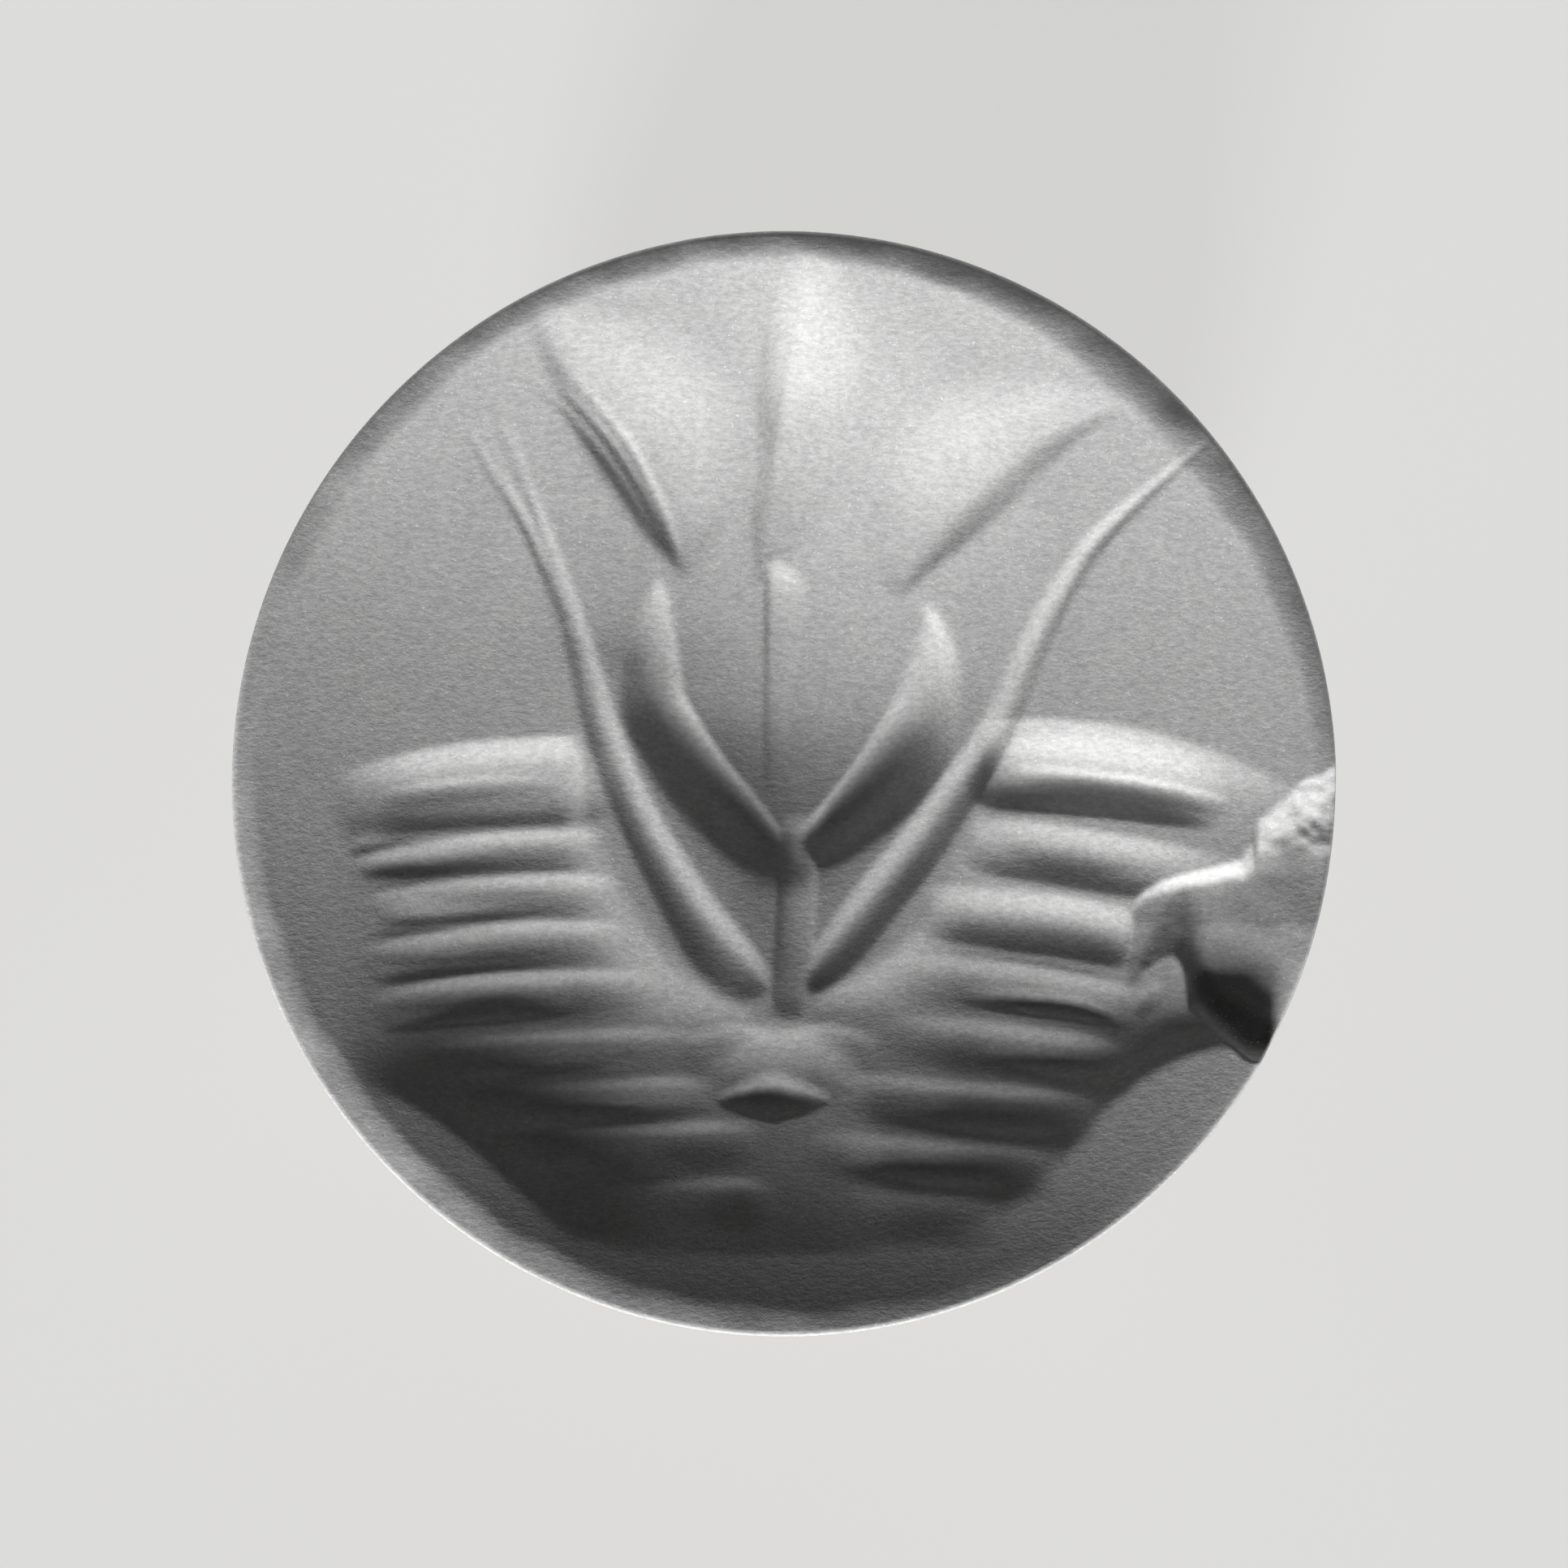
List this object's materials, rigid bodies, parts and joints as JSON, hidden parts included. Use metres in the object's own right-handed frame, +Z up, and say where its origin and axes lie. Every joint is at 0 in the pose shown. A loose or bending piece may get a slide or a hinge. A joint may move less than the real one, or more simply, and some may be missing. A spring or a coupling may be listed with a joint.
{
  "type": "wax seal stamp",
  "caption": "Hand stamp for wax seals: an engraved round stone face cemented in a brass holder that screws onto a turned wooden handle with a brass ferrule and a flat brass end cap.",
  "frame": {"origin": "middle of the end cap's flat foot, which the stamp stands on", "axes": "+Z up the stamp's axis to the engraved face, +Y to the top of the engraved design, +X to its right"},
  "size_m": [0.025, 0.025, 0.0835],
  "materials": {
    "stone": "fine-grained grey stone, matt, worn smooth",
    "cement": "dull setting cement",
    "brass": "turned, lightly tarnished",
    "wood": "dark hardwood, oiled and polished",
    "steel": "bright turned steel",
    "leather": "pressed leather"
  },
  "bodies": {
    "grip": {"end_cap": "brass", "handle": "wood", "tie_rod": "steel", "ferrule": "brass", "nut_washer": "steel", "ferrule_nut": "steel"},
    "washer": {"leather_washer": "leather"},
    "head": {"die_holder": "brass", "setting_cement": "cement", "seal_die": "stone"}
  },
  "joints": [
    {"name": "head_lift", "type": "slide", "parent": "grip", "child": "washer", "axis": [0, 0, 1], "range_m": [0, 0.006]},
    {"name": "head_turn", "type": "hinge", "parent": "washer", "child": "head", "pos_m": [0, 0, 0.0625], "axis": [0, 0, 1], "range_deg": [0, 2160]}
  ],
  "couplings": [
    {"joint": "head_lift", "follows": "head_turn", "m_per_rad": 0.00015915}
  ]
}
